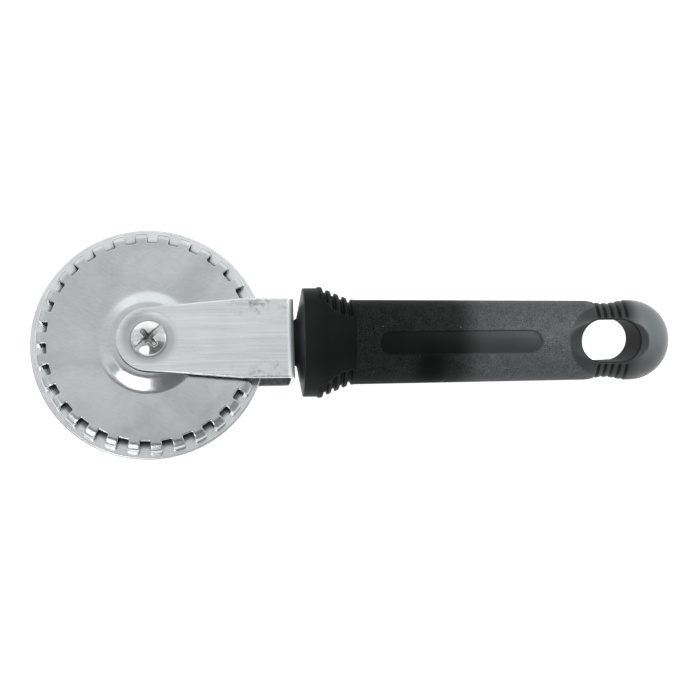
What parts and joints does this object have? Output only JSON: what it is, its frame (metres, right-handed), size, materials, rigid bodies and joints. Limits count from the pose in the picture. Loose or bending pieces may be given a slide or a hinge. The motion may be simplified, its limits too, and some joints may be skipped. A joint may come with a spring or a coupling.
{
  "type": "pastry wheel",
  "caption": "Hand pastry wheel: a plain round cutter between toothed crimping discs, turning in a bent steel fork on an oval soft-grip handle with a hang hole.",
  "frame": {"origin": "middle of the tool's bounding box, on the handle's axis in the cutter's mid-plane", "axes": "+X along the handle away from the wheel, +Z along the axle towards the axle screw, up when the tool lies on its side"},
  "size_m": [0.1942, 0.07, 0.026],
  "materials": {
    "cutter_steel": "satin, ground edge",
    "stamped_steel": "stamped, satin",
    "hub_steel": "turned",
    "washer_nylon": "natural nylon",
    "axle_steel": "nickel plated, polished",
    "fork_steel": "brushed along its length",
    "screw_zinc": "zinc plated",
    "insert_brass": "turned",
    "core_plastic": "moulded black, satin",
    "grip_rubber": "soft black overmould, finely textured"
  },
  "bodies": {
    "handle": {"grip": "grip_rubber", "handle_core": "core_plastic", "threaded_insert": "insert_brass", "fork_screw": "screw_zinc", "fork_spring_washer": "screw_zinc", "fork": "fork_steel", "axle_barrel": "axle_steel", "axle_screw": "axle_steel", "front_thrust_washer": "washer_nylon", "rear_thrust_washer": "washer_nylon"},
    "wheel": {"cutter_disc": "cutter_steel", "front_crimping_disc": "stamped_steel", "rear_crimping_disc": "stamped_steel", "hub_eyelet": "hub_steel", "front_hub_spacer": "hub_steel", "rear_hub_spacer": "hub_steel"}
  },
  "joints": [
    {"name": "wheel_spin", "type": "hinge", "parent": "handle", "child": "wheel", "pos_m": [-0.06215, 0, 0], "axis": [0, 0, 1], "continuous": true}
  ]
}
